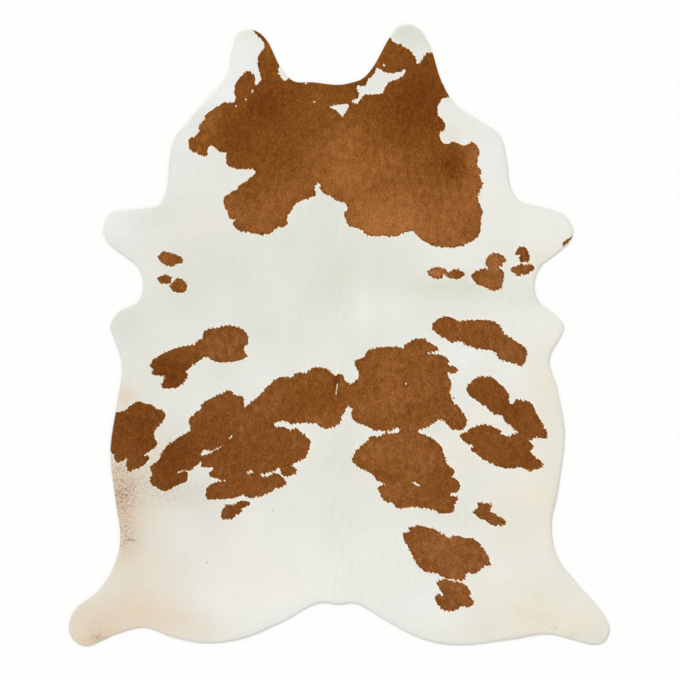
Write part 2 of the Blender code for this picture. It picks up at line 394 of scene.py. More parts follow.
# How far the white hair is yellowed to straw
STRAW_WASHES = (
    Wash(78, -24, 10, 26, 0.28),
    Wash(75, -18, 6, 8, 0.16),
    Wash(71, -57, 10, 8, 0.13),
    Wash(79, -76, 6, 8, 0.12),
    Wash(60, 46, 12, 12, 0.08),
    Wash(42, 74, 5, 5, 0.14),
    Wash(52, -92, 6, 10, 0.10),
    Wash(-2, -3, 12, 8, 0.08),
    Wash(-50, 42, 14, 12, 0.10),
    Wash(52, -29, 6, 4, 0.18),
    Wash(44, -44, 7, 10, 0.20),
    Wash(58, -35, 8, 4, 0.22),
    Wash(66, -64, 14, 16, 0.26),
    Wash(81, -66, 5, 14, 0.26),
    Wash(38, -67, 14, 4, 0.14),
    Wash(62, -84, 12, 12, 0.08),
    Wash(80, -102, 22, 14, 0.30),
    Wash(64, -98, 12, 9, 0.14),
    Wash(78, -108, 16, 4, 0.18),
    Wash(94, -108, 8, 6, 0.12),
    Wash(50, -110, 16, 6, 0.15),
    Wash(80, 38, 12, 10, 0.10),
    Wash(74, 27, 5, 5, 0.28),
    Wash(0, 24, 34, 18, 0.10),
    Wash(44, 18, 20, 8, 0.12),
    Wash(-54, 28, 14, 12, 0.05),
    Wash(-74, -14, 12, 12, 0.06),
    Wash(0, -52, 22, 24, 0.12),
    Wash(-66, -103, 12, 5, 0.12),
    Wash(-52, -111, 14, 4, 0.16),
    Wash(-90, -115, 10, 4, 0.34),
)

# How far the white hair falls off to a cool grey (above nought) or clears to a purer white (below)
GREY_WASHES = (
    Wash(26, 111, 10, 8, 0.55),
    # painted shade, in these two: grey along the ears' top edges
    Wash(24, 114, 8, 3, 0.45),
    Wash(-34, 113, 7, 3, 0.70),
    Wash(-36, 103, 10, 12, -0.66),
    Wash(-46, 90, 12, 8, -0.70),
    Wash(-52, 56, 14, 10, -0.22),
    Wash(-57, 74, 5, 8, -0.30),
    Wash(41, 73, 4, 4, 0.42),
    Wash(54, 64, 14, 22, -0.30),
    Wash(-84, 40, 12, 9, -0.52),
    Wash(78, 40, 12, 10, -0.44),
    Wash(0, 34, 14, 24, 0.50),
    Wash(-18, 28, 8, 8, 0.12),
    Wash(-32, 21, 26, 14, 0.28),
    Wash(-54, 12, 14, 8, 0.20),
    Wash(-56, 30, 14, 8, 0.14),
    Wash(24, 24, 12, 8, 0.18),
    Wash(24, 13, 10, 6, -0.12),
    Wash(42, 18, 18, 5, 0.76),
    Wash(14, 22, 6, 6, 0.16),
    Wash(68, 13, 10, 4, 0.30),
    Wash(18, 12, 20, 8, 0.04),
    Wash(8, 8, 4, 10, -0.45),
    Wash(-80, 4, 9, 8, 0.42),
    Wash(-20, 0, 26, 8, 0.20),
    Wash(76, 2, 8, 8, -0.36),
    Wash(45, -8, 10, 4, -0.22),
    Wash(63, -14, 6, 5, -0.38),
    Wash(-74, -14, 10, 10, 0.12),
    Wash(-40, -14, 8, 4, 0.22),
    Wash(-64, -42, 8, 12, 0.38),
    Wash(-55, -56, 12, 8, 0.45),
    Wash(-72, -56, 9, 12, 0.26),
    Wash(-77, -54, 5, 5, 0.20),
    Wash(35, -34, 5, 3, 0.45),
    Wash(46, -62, 6, 9, 0.40),
    Wash(38, -67, 12, 4, 0.22),
    Wash(0, -55, 8, 24, 0.32),
    Wash(2, -74, 12, 10, -0.20),
    Wash(-26, -90, 28, 16, -0.54),
    Wash(-44, -100, 24, 10, -0.30),
    Wash(20, -98, 14, 8, -0.26),
    Wash(-75, -66, 5, 8, 0.24),
    Wash(82, -68, 4, 14, 0.50),
    Wash(74, -112, 24, 4, 0.34),
    Wash(92, -106, 8, 7, 0.15),
)

# How thickly brown hairs are ticked through the white
TICKING_WASHES = (
    Wash(-80, -58, 5.5, 8, 0.80),
    Wash(-81, -48, 3, 3, 0.30),
    Wash(-79, -74, 5, 7, 0.44),
    Wash(-77, -75.4, 2, 0.8, 0.60),
    Wash(-68, -55, 9, 8, 0.22),
    Wash(-57, -59, 8, 4, 0.16),
    Wash(-88.5, -111.5, 3, 1.5, 0.50),
    Wash(-86, -108, 8, 4, 0.12),
    Wash(65, -102, 6, 2, 0.10),
    Wash(75, -104, 6, 2.5, 0.12),
    Wash(79, -107.8, 1.6, 0.8, 0.35),
    Wash(86, -110.5, 2.5, 1, 0.25),
)


# ---------------------------------------------------------------- numbers and curves


def linear(colour: str) -> tuple[float, float, float, float]:
    """Turns an sRGB hex colour to linear light.

    Args:
        colour: Six hex digits after a hash.

    Returns:
        Red, green and blue in linear light, and an alpha of one.
    """
    parts = [int(colour[i:i + 2], 16) / 255 for i in (1, 3, 5)]
    red, green, blue = (c / 12.92 if c <= 0.04045 else ((c + 0.055) / 1.055) ** 2.4 for c in parts)
    return red, green, blue, 1.0


def ease(value: np.ndarray, low: float, high: float) -> np.ndarray:
    """A soft step, 3t^2 - 2t^3, from nought at low to one at high."""
    t = np.clip((value - low) / (high - low), 0.0, 1.0)
    return t * t * (3.0 - 2.0 * t)


@dataclass(frozen=True)
class Ripple:
    """Uneven ripples: the sum of plane waves that run every way, each sin(k.p + phase)."""

    size: float              # the spread of the heights
    length: float            # the mean distance from crest to crest, in metres
    seed: int                # of the waves' directions and phases
    count: int = 9           # how many waves are summed
    spans: Range = (0.7, 1.5)     # the shortest and the longest wave, as shares of the length

    def at(self, x: np.ndarray, y: np.ndarray) -> np.ndarray:
        """The ripples' heights.

        Args:
            x: Places across the hide.
            y: Places along the hide.

        Returns:
            The heights at those places, with a mean of nought.
        """
        draw = np.random.default_rng(self.seed)
        turns = draw.uniform(0.0, np.pi, self.count)
        lengths = self.length * draw.uniform(*self.spans, self.count)
        phases = draw.uniform(0.0, 2.0 * np.pi, self.count)
        total = np.zeros_like(x, dtype=float)
        for turn, span, phase in zip(turns, lengths, phases):
            total += np.sin(2.0 * np.pi / span * (x * np.cos(turn) + y * np.sin(turn)) + phase)
        return self.size * (total * np.sqrt(2.0 / self.count))


def washed(x: np.ndarray, y: np.ndarray, washes: Iterable[Wash]) -> np.ndarray:
    """The summed strength of washes, each a bell exp(-(dx/wide)^2 - (dy/tall)^2).

    Args:
        x: Places across the hide.
        y: Places along the hide.
        washes: The washes.

    Returns:
        The sum at each place.
    """
    total = np.zeros_like(x, dtype=float)
    for wash in washes:
        dx, dy = (x / CM - wash.x) / wash.wide, (y / CM - wash.y) / wash.tall
        total += wash.strength * np.exp(-dx * dx - dy * dy)
    return total


def rounded(corners: np.ndarray, per_span: int) -> np.ndarray:
    """A smooth closed curve through a ring of places.

    Each span is a cubic from one place to the next. Its slope at a place is half the step between that
    place's two neighbours, as in a Catmull-Rom spline.

    Args:
        corners: The ring, one row of x and y for each place.
        per_span: How many points the curve has on each span.

    Returns:
        The curve's points, one row each.
    """
    ends = np.roll(corners, -1, axis=0)
    slopes = (ends - np.roll(corners, 1, axis=0)) / 2.0
    later = np.roll(slopes, -1, axis=0)
    t = np.linspace(0.0, 1.0, per_span, endpoint=False)[None, :, None]
    curve = (
        (2 * t**3 - 3 * t**2 + 1) * corners[:, None]
        + (t**3 - 2 * t**2 + t) * slopes[:, None]
        + (3 * t**2 - 2 * t**3) * ends[:, None]
        + (t**3 - t**2) * later[:, None]
    )
    return curve.reshape(-1, 2)


def spaced(ring: np.ndarray, step: float) -> np.ndarray:
    """The same closed curve with its points a step apart, measured along it.

    Args:
        ring: The curve's points, one row each.
        step: The distance between its new points.

    Returns:
        The new points, one row each.
    """
    closed = np.vstack([ring, ring[:1]])
    run = np.concatenate([[0.0], np.cumsum(np.linalg.norm(np.diff(closed, axis=0), axis=1))])
    stops = np.linspace(0.0, run[-1], round(run[-1] / step), endpoint=False)
    return np.column_stack([np.interp(stops, run, closed[:, axis]) for axis in (0, 1)])


def inset(ring: np.ndarray, depth: float | np.ndarray) -> np.ndarray:
    """The ring, which runs anticlockwise, moved into its area at right angles to itself.

    Args:
        ring: The closed outline, one row a point.
        depth: How far it moves, all round or point by point.

    Returns:
        The moved points, one row each.
    """
    along = np.roll(ring, -1, axis=0) - np.roll(ring, 1, axis=0)
    along /= np.linalg.norm(along, axis=1)[:, None]
    into = np.column_stack([-along[:, 1], along[:, 0]])
    return ring + into * np.broadcast_to(depth, len(ring))[:, None]


def depth_in_ring(x: np.ndarray, y: np.ndarray, ring: np.ndarray) -> np.ndarray:
    """How deep each place lies in a ring: its distance to the nearest side, below nought outside.

    A place is inside where a ray from it along +X crosses the ring an odd number of times.

    Args:
        x: Places across, as one flat array.
        y: Places along, as one flat array.
        ring: The closed outline, one row a point.

    Returns:
        The signed distance of each place, in the unit of the ring.
    """
    nearest = np.full(len(x), np.inf)
    odd = np.zeros(len(x), bool)
    for (ax, ay), (bx, by) in zip(ring, np.roll(ring, -1, axis=0)):
        ex, ey = bx - ax, by - ay
        square = max(ex * ex + ey * ey, SHORTEST_SQUARE)
        t = np.clip(((x - ax) * ex + (y - ay) * ey) / square, 0.0, 1.0)
        np.minimum(nearest, (x - ax - t * ex) ** 2 + (y - ay - t * ey) ** 2, out=nearest)
        if ay != by:
            odd ^= ((ay > y) != (by > y)) & (x < ax + (y - ay) * ex / ey)
    return np.where(odd, 1.0, -1.0) * np.sqrt(nearest)


@dataclass
class FieldGrid:
    """Values on an even square grid over the hide, read between its points by straight blending."""

    low: np.ndarray
    cell: float
    values: np.ndarray

    @classmethod
    def over(cls, low: np.ndarray, high: np.ndarray, cell: float, start: float) -> "FieldGrid":
        """A grid from low to high, filled with one value."""
        shape = np.ceil((high - low) / cell).astype(int) + 1
        return cls(low, cell, np.full(shape, start))

    def places(
        self, low: np.ndarray, high: np.ndarray
    ) -> tuple[tuple[slice, slice], np.ndarray, np.ndarray]:
        """The part of the grid between two corners.

        Args:
            low: The part's lowest x and y.
            high: The part's highest x and y.

        Returns:
            The part's slices in the grid, and the x and the y of its points as 2-D arrays.
        """
        first = np.clip(np.floor((low - self.low) / self.cell).astype(int), 0, self.values.shape)
        last = np.clip(np.ceil((high - self.low) / self.cell).astype(int) + 1, 0, self.values.shape)
        x = self.low[0] + self.cell * np.arange(first[0], last[0])
        y = self.low[1] + self.cell * np.arange(first[1], last[1])
        part = slice(first[0], last[0]), slice(first[1], last[1])
        return part, *np.meshgrid(x, y, indexing="ij")

    def read(self, x: np.ndarray, y: np.ndarray) -> np.ndarray:
        """The value at each place, blended from the four grid points round it.

        Args:
            x: Places across the hide.
            y: Places along the hide.

        Returns:
            The values, one a place.
        """
        i, u = self._split(x, 0)
        j, v = self._split(y, 1)
        grid = self.values
        near = grid[i, j] * (1 - v) + grid[i, j + 1] * v
        far = grid[i + 1, j] * (1 - v) + grid[i + 1, j + 1] * v
        return near * (1 - u) + far * u

    def _split(self, place: np.ndarray, axis: int) -> tuple[np.ndarray, np.ndarray]:
        """Finds places between the grid's points along one axis.

        Args:
            place: The places along the axis.
            axis: Nought for x and one for y.

        Returns:
            The grid index below each place and the share of a cell past it.
        """
        at = np.clip((place - self.low[axis]) / self.cell, 0, self.values.shape[axis] - LAST_CELL)
        index = at.astype(int)
        return index, at - index


# ---------------------------------------------------------------- the hide's shape and its markings


@dataclass
class CutEdge:
    """The hide's cut edge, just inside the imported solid's, which reaches as far as the hair."""

    tips: float = 1.5 * MM       # how far the lying hair's tips reach past the cut
    finest: float = 5 * MM       # spacing of the smoothed edge's points
    per_span: int = 6            # points of the smooth curve on each side of the solid's border
    cell: float = 4 * MM         # spacing of the grid that holds the distance to the edge
    margin: float = 20 * MM      # how far the grid runs on outside the hide
    same: float = 0.01 * MM      # the solid's corners nearer to each other than this are one
    level: float = 0.1 * MM      # its corners less than this above its lowest are on its underside
    ring: np.ndarray = field(init=False)
    grid: FieldGrid = field(init=False)

    def __post_init__(self) -> None:
        """Finds the edge and its distance field."""
        corners = self._corners()
        self.ring = inset(spaced(rounded(corners, self.per_span), self.finest), self.tips)
        low, high = self.ring.min(axis=0) - self.margin, self.ring.max(axis=0) + self.margin
        self.grid = FieldGrid.over(low, high, self.cell, 0.0)
        part, x, y = self.grid.places(low, high)
        depth = depth_in_ring(x.ravel(), y.ravel(), corners) - self.tips
        self.grid.values[part] = depth.reshape(x.shape)

    def _corners(self) -> np.ndarray:
        """The ring of the underside's border, which is where a flat face meets the edge's wall.

        Returns:
            The border's corners in order, anticlockwise seen from above, one row of x and y each.
        """
        shape = bmesh.new()
        shape.from_mesh(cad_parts[NODE].data)
        bmesh.ops.remove_doubles(shape, verts=shape.verts, dist=self.same)
        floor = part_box(NODE)[0].z + self.level
        border = [
            edge for edge in shape.edges
            if all(vert.co.z < floor for vert in edge.verts)
            and any(vert.co.z > floor for face in edge.link_faces for vert in face.verts)
        ]
        beside: dict[int, list[int]] = {}
        for edge in border:
            a, b = (vert.index for vert in edge.verts)
            beside.setdefault(a, []).append(b)
            beside.setdefault(b, []).append(a)
        shape.verts.ensure_lookup_table()
        walk = [border[0].verts[0].index]
        walk.append(beside[walk[0]][0])
        while len(walk) < len(beside):
            walk.append(next(place for place in beside[walk[-1]] if place != walk[-2]))
        ring = np.array([shape.verts[index].co.xy for index in walk])
        shape.free()
        after = np.roll(ring, -1, axis=0)
        area = np.sum(ring[:, 0] * after[:, 1] - after[:, 0] * ring[:, 1]) / 2.0
        return ring if area > 0 else ring[::-1]

    @property
    def area(self) -> float:
        """The area inside the cut, in square metres."""
        x, y = self.ring.T
        return abs(float(np.sum(x * np.roll(y, -1) - np.roll(x, -1) * y))) / 2.0

    @property
    def size(self) -> tuple[float, float]:
        """The width and length of the cut sheet."""
        width, length = np.ptp(self.ring, axis=0)
        return float(width), float(length)

    def depth(self, x: np.ndarray, y: np.ndarray) -> np.ndarray:
        """How far inside the cut edge each place lies."""
        return self.grid.read(x, y)

    def lattice(self, step: float, clear: float) -> np.ndarray:
        """Places inside the edge in rows a step apart, every other row half a step along.

        Args:
            step: The distance between neighbours.
            clear: How far inside the edge the places stay.

        Returns:
            The places, one row of x and y each.
        """
        low, high = self.ring.min(axis=0), self.ring.max(axis=0)
        rows = np.arange(low[1], high[1], step * TRIANGLE)
        columns = np.arange(low[0], high[0], step)
        x = columns[None, :] + (np.arange(len(rows)) % 2)[:, None] * step / 2.0
        y = np.broadcast_to(rows[:, None], x.shape)
        x, y = x.ravel(), y.ravel()
        keep = self.depth(x, y) > clear
        return np.column_stack([x[keep], y[keep]])


@dataclass
class Markings:
    """Where the coat is brown, and how its tones drift."""

    edge: CutEdge
    cell: float = 4 * MM          # spacing of the grid that holds the distance to a patch's border
    reach: float = 30 * MM        # how far from a border that distance is worked out
    per_span: int = 5             # points on each span of a patch's outline
    spread: float = 1.8 * MM      # how far the brown hair lies out over a border
    wander: Ripple = Ripple(0.9 * MM, 28 * MM, seed=11)      # how a border strays
    teeth: Ripple = Ripple(1.5 * MM, 11 * MM, seed=12, count=15)
    rough: float = 1.15           # how many times as large the teeth are on the back
    calmed: float = 0.25          # and how much less than that on the head
    neck: Range = (0.15, 0.45)    # between these places along the hide the one turns to the other
    steep: float = 3.0            # how many times as fast a brown fleck deepens, being dark all over
    clump: float = 6 * MM         # hairs that lie together share a tone over about this width
    clump_long: float = 1.5       # and over this many times as much along the hide
    clump_seed: int = 13
    clump_shade: float = 0.05     # how far a clump shades the brown
    clouds: Ripple = Ripple(0.06, 160 * MM, seed=21)         # broad clouds of shade in the brown
    mottle: Ripple = Ripple(0.07, 45 * MM, seed=22)          # and smaller ones
    drift: Ripple = Ripple(0.06, 260 * MM, seed=23)          # slow changes of grey in the white
    gold_along: Range = (-1.1, 1.0)     # from no gold in the brown, at the tail, to all, at the head
    gold_power: float = 1.5       # how late towards the head it comes
    gold_kept: float = 0.65       # how much of the fading the back is spared
    gold_middle: float = 0.08     # where across the hide it is spared most
    gold_width: float = 0.38      # and the half width of that strip
    rim: float = 14 * MM          # how far in from the cut its closeness is felt
    grid: FieldGrid = field(init=False)
    clumps: FieldGrid = field(init=False)

    def __post_init__(self) -> None:
        """Draws the patches into the grid, brown ones joined and white ones cut in, and the clumps."""
        low, high = self.edge.grid.low, self.edge.ring.max(axis=0) + self.edge.margin
        self.grid = FieldGrid.over(low, high, self.cell, -self.reach)
        for patch in PATCHES:
            self._draw(patch)
        self.clumps = FieldGrid.over(low, high, self.clump, 0.0)
        draw = np.random.default_rng(self.clump_seed)
        self.clumps.values = draw.normal(0.0, 1.0, self.clumps.values.shape)

    def _draw(self, patch: Patch) -> None:
        """Draws one patch into the grid.

        Args:
            patch: The patch to draw.
        """
        ring = rounded(np.array(patch.outline) * CM, self.per_span)
        part, x, y = self.grid.places(ring.min(axis=0) - self.reach, ring.max(axis=0) + self.reach)
        depth = depth_in_ring(x.ravel(), y.ravel(), ring).reshape(x.shape)
        self.grid.values[part] = self._joined(self.grid.values[part], depth, patch.hair)

    def _joined(self, before: np.ndarray, depth: np.ndarray, hair: Hair) -> np.ndarray:
        """The depth in the brown once a marking is joined to it, or cut out of it."""
        return np.maximum(before, depth) if hair is Hair.BROWN else np.minimum(before, -depth)

    def depth(self, x: np.ndarray, y: np.ndarray) -> np.ndarray:
        """How deep in the brown each place lies.

        It is the distance to a patch's border, made ragged, more so on the back than on the head, with
        each fleck's own round cone.

        Args:
            x: Places across the hide.
            y: Places along the hide.

        Returns:
            The depths in metres, below nought in the white.
        """
        teeth = self.teeth.at(x, y) * (self.rough - self.calmed * ease(y, *self.neck))
        total = self.grid.read(x, y) + self.spread + (self.wander.at(x, y) + teeth)
        for fleck in FLECKS:
            inside = fleck.radius * CM - np.hypot(x - fleck.x * CM, y - fleck.y * CM)
            if fleck.hair is Hair.BROWN:
                inside *= self.steep
            total = self._joined(total, inside, fleck.hair)
        return total

    def clumped(self, x: np.ndarray, y: np.ndarray) -> np.ndarray:
        """The clumps' own tone at each place, with a mean of nought."""
        return self.clumps.read(x, y / self.clump_long)

    def tones(self, x: np.ndarray, y: np.ndarray) -> dict[str, np.ndarray]:
        """The tones of the coat at each place.

        Args:
            x: Places across the hide.
            y: Places along the hide.

        Returns:
            Arrays by attribute name: depth in millimetres, shade of the brown and faded, how far its
            gold has gone, from the head to the tail and from the back to the belly, then stain,
            straw, grey and ticking of the white, and rim, the closeness to the cut edge.
        """
        uneven = self.clouds.at(x, y) + self.mottle.at(x, y) + self.clump_shade * self.clumped(x, y)
        headward = ease(y, *self.gold_along) ** self.gold_power
        inward = np.exp(-(((x - self.gold_middle) / self.gold_width) ** 2))
        return {
            "depth": self.depth(x, y) / MM,
            "shade": washed(x, y, BROWN_WASHES) + uneven,
            "faded": (1.0 - headward) * (1.0 - self.gold_kept * inward),
            "stain": np.clip(washed(x, y, STAIN_WASHES), 0.0, 1.0),
            "straw": np.clip(washed(x, y, STRAW_WASHES), 0.0, 1.0),
            "grey": np.clip(washed(x, y, GREY_WASHES) + self.drift.at(x, y), -1.0, 1.0),
            "ticking": np.clip(washed(x, y, TICKING_WASHES), 0.0, 1.0),
            "rim": 1.0 - ease(self.edge.depth(x, y), 0.0, self.rim),
        }


@dataclass
class Lie:
    """How the hide lies: its slow rise off the floor near the edge, its layers, and the hair's run."""

    edge: CutEdge
    leather: float = 2 * MM       # the tanned skin
    undercoat: float = 2 * MM     # the dense hair lying on it
    roll: float = 22 * MM         # over this width the undercoat curls down to the cut edge
    stiff: float = 0.1            # share of that drop which the locks, stiffer, bridge
    lift: float = 1.5 * MM        # how far the edge waves off the floor
    lift_width: float = 150 * MM  # how far in from the edge it starts to rise
    swell: Ripple = Ripple(0.6, 340 * MM, seed=31)           # where it rises, from nought to one
    groove: float = 0.7 * MM      # depth of the parting along the spine
    groove_half: float = 5 * MM   # its half width
    groove_left: float = 8 * MM   # how far it runs to the left of the middle
    groove_stray: Ripple = Ripple(5 * MM, 300 * MM, seed=33)
    nape: float = 0.53            # where along the hide it starts
    nape_fade: float = 0.08       # and over what length it deepens
    tufts: Ripple = Ripple(0.12 * MM, 24 * MM, seed=34)      # small swells of the undercoat
    tufts_drawn: float = 0.6      # they are drawn out along the hide by one over this
    fall: float = 0.25            # how steeply hair falls away outside the edge
    outward: float = 58.0         # degrees by which the hair turns out to the flanks and legs
    turning: Range = (0.05, 0.85)      # the distances from the spine between which it turns
    stray: Ripple = Ripple(np.radians(9.0), 150 * MM, seed=35)

    def under(self, x: np.ndarray, y: np.ndarray) -> np.ndarray:
        """The height of the underside: flat, and up to the lift where the edge waves off the floor."""
        near_edge = 1.0 - ease(self.edge.depth(x, y), 0.0, self.lift_width)
        return self.lift * near_edge * np.clip(self.swell.at(x, y), 0.0, 1.0)

    def top(self, x: np.ndarray, y: np.ndarray, stiff: float = 0.0) -> np.ndarray:
        """The height of the undercoat, or of hair that bridges its roll.

        It lies on the leather, thinned by a quarter circle over the roll at the edge and by the
        parting along the spine, and falls away outside the edge.

        Args:
            x: Places across the hide.
            y: Places along the hide.
            stiff: The share of the roll's drop that the hair bridges.

        Returns:
            The heights.
        """
        depth = self.edge.depth(x, y)
        share = np.clip(depth / self.roll, 0.0, 1.0)
        drop = 1.0 - np.sqrt(1.0 - (1.0 - share) ** 2)
        coat = self.undercoat * (1.0 - (1.0 - stiff) * drop)
        spine = np.exp(-((x + self.groove_left + self.groove_stray.at(y, y)) / self.groove_half) ** 2)
        parting = self.groove * spine * ease(self.nape - y, 0.0, self.nape_fade)
        tufts = self.tufts.at(x, self.tufts_drawn * y) * share
        fall = self.fall * np.minimum(depth, 0.0)
        return self.under(x, y) + self.leather + coat - parting * share + tufts + fall

    def run(self, x: np.ndarray, y: np.ndarray) -> np.ndarray:
        """The angle that the hair runs at, in radians from +X.

        It runs to the tail along the spine and turns outwards to the flanks and legs.

        Args:
            x: Places across the hide.
            y: Places along the hide.

        Returns:
            The angles.
        """
        outward = np.radians(self.outward) * ease(np.abs(x), *self.turning) * np.sign(x)
        return -np.pi / 2.0 + outward + self.stray.at(x, y)


# ---------------------------------------------------------------- meshes and nodes


def make_mesh(
    name: str,
    places: np.ndarray,
    triangles: np.ndarray,
    values: dict[str, np.ndarray],
    maps: dict[str, np.ndarray],
) -> bpy.types.Object:
    """Puts whole arrays into a new smooth mesh object at the origin.

    Args:
        name: The piece's name.
        places: One row of x, y and z for each vertex.
        triangles: One row of three vertex indices for each face.
        values: Float attributes by name, one value a vertex.
        maps: UV maps by name, one row of u and v a vertex.

    Returns:
        The object, linked to the scene.
    """
    mesh = bpy.data.meshes.new(name)
    corners = triangles.astype(np.int32).ravel()
    mesh.vertices.add(len(places))
    mesh.vertices.foreach_set("co", places.astype(np.float32).ravel())
    mesh.loops.add(len(corners))
    mesh.loops.foreach_set("vertex_index", corners)
    mesh.polygons.add(len(triangles))
    mesh.polygons.foreach_set("loop_start", np.arange(0, len(corners), 3, dtype=np.int32))
    for title, value in values.items():
        data = mesh.attributes.new(title, "FLOAT", "POINT").data
        data.foreach_set("value", value.astype(np.float32))
    for title, uv in maps.items():
        data = mesh.uv_layers.new(name=title).uv
        data.foreach_set("vector", uv[corners].astype(np.float32).ravel())
    mesh.update(calc_edges=True)
    mesh.shade_smooth()
    piece = bpy.data.objects.new(name, mesh)
    bpy.context.scene.collection.objects.link(piece)
    return piece


def flat_map(x: np.ndarray, y: np.ndarray) -> np.ndarray:
    """A map of a piece seen from above, scaled to fill the unit square's longer way.

    Args:
        x: The piece's places across the hide.
        y: The piece's places along the hide.

    Returns:
        One row of u and v for each place.
    """
    low = np.array([x.min(), y.min()])
    side = max(np.ptp(x), np.ptp(y))
    return (np.column_stack([x, y]) - low) / side


def filled(ring: np.ndarray, inner: np.ndarray) -> tuple[np.ndarray, np.ndarray]:
    """Fills a ring with triangles through inner places, as even as they can be (Delaunay).

    Args:
        ring: The border, anticlockwise.
        inner: The places inside it.

    Returns:
        The places, with the border's first, and the triangles, anticlockwise.
    """
    places = [tuple(place) for place in np.vstack([ring, inner])]
    inside = 1      # keeps only the triangles inside the border
    same = 1e-7     # places nearer to each other than this are one
    found = delaunay_2d_cdt(places, [], [list(range(len(ring)))], inside, same)
    return np.array([tuple(place) for place in found[0]]), np.array(found[2])


NodeInput = bpy.types.NodeSocket | float | tuple


def add_node(
    tree: bpy.types.NodeTree, kind: str, inputs: dict[str | int, NodeInput], **settings: object
) -> bpy.types.Node:
    """Adds one shader node.

    Args:
        tree: The material's node tree.
        kind: The node's type, without the leading ShaderNode.
        inputs: Sockets by name or number, each with a value or with the socket that feeds it.
        settings: The node's own properties.

    Returns:
        The new node.
    """
    node = tree.nodes.new("ShaderNode" + kind)
    for name, value in settings.items():
        setattr(node, name, value)
    for name, value in inputs.items():
        if isinstance(value, bpy.types.NodeSocket):
            tree.links.new(value, node.inputs[name])
        else:
            node.inputs[name].default_value = value
    return node


MIX_SHARE, MIX_FROM, MIX_TO, MIX_RESULT = 0, 6, 7, 2     # a colour Mix node's sockets


# ---------------------------------------------------------------- finishes


@dataclass(frozen=True)
class HairFinish:
    """What white and brown hair share: the soft dull gloss of short dry hair lying flat.

    To the eye it is matt with a faint sheen, and fine streaks run along it.
    """

    roughness: float = 0.62
    ior: float = 1.55              # keratin
    sheen: float = 0.02
    sheen_roughness: float = 0.5
    specular: float = 0.08         # hair scatters most of its gloss between the strands
    strand: float = 3.2 * MM       # a strand is 0.1 mm; drawn this coarse, so that it shows
    streak: float = 4 * MM         # how far a strand keeps its tone, seen from above
    detail: float = 1.0            # finer layers in the strands' noise
    relief: float = 0.3 * MM       # how far the strands stand out
    relief_share: float = 0.25     # and how much of that shows

    def shader(
        self, tree: bpy.types.NodeTree, colour: bpy.types.NodeSocket, height: bpy.types.NodeSocket
    ) -> None:
        """Finishes a hair material.

        Args:
            tree: The material's node tree.
            colour: The hair's colour.
            height: The strands' relief, from nought to one.
        """
        bumps = {"Strength": self.relief_share, "Distance": self.relief, "Height": height}
        bump = add_node(tree, "Bump", bumps)
        shader = tree.nodes["Principled BSDF"]
        shader.inputs["Roughness"].default_value = self.roughness
        shader.inputs["IOR"].default_value = self.ior
        shader.inputs["Specular IOR Level"].default_value = self.specular
        shader.inputs["Sheen Weight"].default_value = self.sheen
        shader.inputs["Sheen Roughness"].default_value = self.sheen_roughness
        tree.links.new(colour, shader.inputs["Base Color"])
        tree.links.new(bump.outputs["Normal"], shader.inputs["Normal"])

    def strands(self, tree: bpy.types.NodeTree) -> bpy.types.NodeSocket:
        """Fine streaks that run to the tail.

        Args:
            tree: The material's node tree.

        Returns:
            The socket of a value from nought to one.
        """
        place = add_node(tree, "TexCoord", {})
        drawn = (1.0 / self.strand, 1.0 / self.streak, 1.0 / self.strand)
        moved = add_node(tree, "Mapping", {"Vector": place.outputs["Object"], "Scale": drawn})
        made = {"Vector": moved.outputs[0], "Scale": 1.0, "Detail": self.detail}
        return add_node(tree, "TexNoise", made).outputs["Fac"]


def value_of(tree: bpy.types.NodeTree, name: str) -> bpy.types.NodeSocket:
    """The piece's own attribute of that name."""
    return add_node(tree, "Attribute", {}, attribute_name=name).outputs["Fac"]


def remap(
    tree: bpy.types.NodeTree,
    value: bpy.types.NodeSocket,
    old: Range,
    new: Range,
    way: str = "SMOOTHSTEP",
) -> bpy.types.NodeSocket:
    """A value taken from one range to another, softly or in one straight line, and no further."""
    inputs = {0: value, 1: old[0], 2: old[1], 3: new[0], 4: new[1]}
    return add_node(tree, "MapRange", inputs, interpolation_type=way).outputs[0]


def blended(
    tree: bpy.types.NodeTree,
    share: NodeInput,
    start: NodeInput,
    end: NodeInput,
    way: str = "MIX",
) -> bpy.types.NodeSocket:
    """Two colours mixed by a share, in one of Blender's ways of mixing."""
    inputs = {MIX_SHARE: share, MIX_FROM: start, MIX_TO: end}
    return add_node(tree, "Mix", inputs, data_type="RGBA", blend_type=way).outputs[MIX_RESULT]


